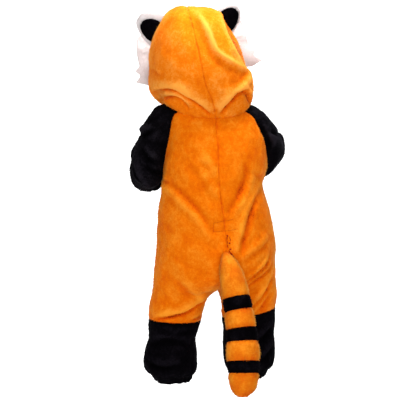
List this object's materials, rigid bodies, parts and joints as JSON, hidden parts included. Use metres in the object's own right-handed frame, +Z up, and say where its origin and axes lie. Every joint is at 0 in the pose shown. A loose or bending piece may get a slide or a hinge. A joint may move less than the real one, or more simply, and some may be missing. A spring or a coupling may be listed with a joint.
{
  "type": "hooded animal one-piece pyjamas",
  "caption": "Toddler's hooded plush one-piece pyjamas as a red panda, hollow as worn, with contrast raglan sleeves and lower legs, ears, cheek ruffs, a ringed stuffed tail and a buttoned front.",
  "frame": {"origin": "middle of the neck, level with the nape, where the wearer's shoulders and neck hold it", "axes": "+Z up along the body, +Y towards the wearer's front, +X towards the wearer's right"},
  "size_m": [0.3516, 0.4202, 0.8424],
  "materials": {
    "orange_plush": "short soft pile",
    "black_plush": "short soft pile",
    "white_plush": "short soft pile",
    "button_resin": "satin"
  },
  "bodies": {
    "root": {"back_left": "orange_plush", "front_left": "orange_plush", "hood_left": "orange_plush", "sleeve_left": "black_plush", "lower_leg_left": "black_plush", "ear_back_left": "black_plush", "ear_front_left": "white_plush", "cheek_ruff_left": "white_plush", "back_right": "orange_plush", "front_right": "orange_plush", "hood_right": "orange_plush", "sleeve_right": "black_plush", "lower_leg_right": "black_plush", "ear_back_right": "black_plush", "ear_front_right": "white_plush", "cheek_ruff_right": "white_plush", "tail_base": "orange_plush", "tail_band_1": "orange_plush", "tail_band_2": "orange_plush", "tail_tip": "orange_plush", "tail_ring_1": "black_plush", "tail_ring_2": "black_plush", "tail_ring_3": "black_plush", "front_placket": "orange_plush", "button_1": "button_resin", "button_2": "button_resin", "button_3": "button_resin", "button_4": "button_resin", "button_5": "button_resin", "button_6": "button_resin"}
  },
  "joints": []
}
